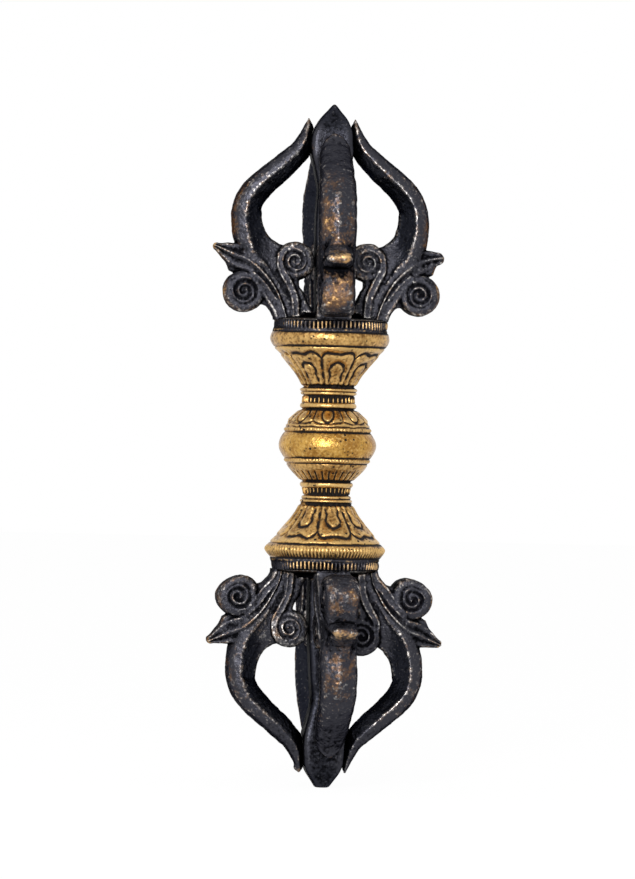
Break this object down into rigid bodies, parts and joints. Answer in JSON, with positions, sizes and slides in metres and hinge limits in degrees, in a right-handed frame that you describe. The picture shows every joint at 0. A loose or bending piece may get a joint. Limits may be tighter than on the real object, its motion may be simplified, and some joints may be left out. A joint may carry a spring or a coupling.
{
  "type": "dorje vajra",
  "caption": "Hand-held ritual sceptre: a stacked, petalled grip with a closed crown of curved prongs at each end.",
  "frame": {"origin": "centre of the globe, half way between the two tips", "axes": "+Z along the long axis to the pointed tip, -Y to the front that the picture shows, +X to the right"},
  "size_m": [0.0524, 0.0524, 0.15],
  "materials": {
    "gilt_brass": "worn gilding, rubbed bright on high places and black in the recesses",
    "dark_bronze": "blue-black patina with warm brown rub on the edges",
    "spine_brass": "plain turned brass, out of sight"
  },
  "bodies": {
    "root": {"spine_rod": "spine_brass", "globe": "gilt_brass", "upper_globe_cap": "gilt_brass", "upper_neck_collar": "gilt_brass", "upper_lotus_cup": "gilt_brass", "upper_moon_disc": "gilt_brass", "lower_globe_cap": "gilt_brass", "lower_neck_collar": "gilt_brass", "lower_lotus_cup": "gilt_brass", "lower_moon_disc": "gilt_brass", "upper_bead_ring": "dark_bronze", "upper_crown_seat": "dark_bronze", "upper_centre_prong": "dark_bronze", "upper_right_prong": "dark_bronze", "upper_back_prong": "dark_bronze", "upper_left_prong": "dark_bronze", "upper_front_prong": "dark_bronze", "lower_bead_ring": "dark_bronze", "lower_crown_seat": "dark_bronze", "lower_centre_prong": "dark_bronze", "lower_right_prong": "dark_bronze", "lower_back_prong": "dark_bronze", "lower_left_prong": "dark_bronze", "lower_front_prong": "dark_bronze"}
  },
  "joints": []
}
